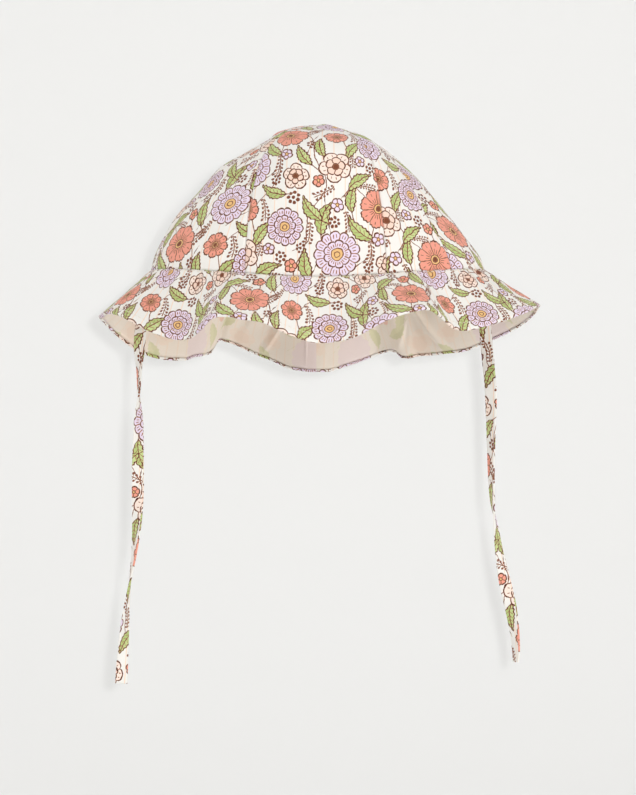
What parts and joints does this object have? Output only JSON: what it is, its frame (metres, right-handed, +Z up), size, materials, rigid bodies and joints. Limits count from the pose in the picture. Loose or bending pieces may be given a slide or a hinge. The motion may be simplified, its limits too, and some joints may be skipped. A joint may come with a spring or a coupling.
{
  "type": "infant sun hat with ties",
  "caption": "Infant's cotton sun hat with a domed panelled crown, a wavy gathered brim with a plain facing, and flat hanging ties.",
  "frame": {"origin": "middle of the head opening, level with the seam between crown and brim", "axes": "+Z up through the crown, -Y to the front of the hat, +X to the viewer's right as seen from the front"},
  "size_m": [0.2504, 0.1854, 0.3183],
  "materials": {
    "printed_cotton": "matt woven cotton, cream ground with a small floral print",
    "plain_cotton": "matt woven cotton, plain beige"
  },
  "bodies": {
    "root": {"crown_panel_1": "printed_cotton", "crown_panel_2": "printed_cotton", "crown_panel_3": "printed_cotton", "crown_panel_4": "printed_cotton", "crown_panel_5": "printed_cotton", "crown_panel_6": "printed_cotton", "brim": "printed_cotton", "brim_facing": "plain_cotton", "tie_left": "printed_cotton", "tie_right": "printed_cotton"}
  },
  "joints": []
}
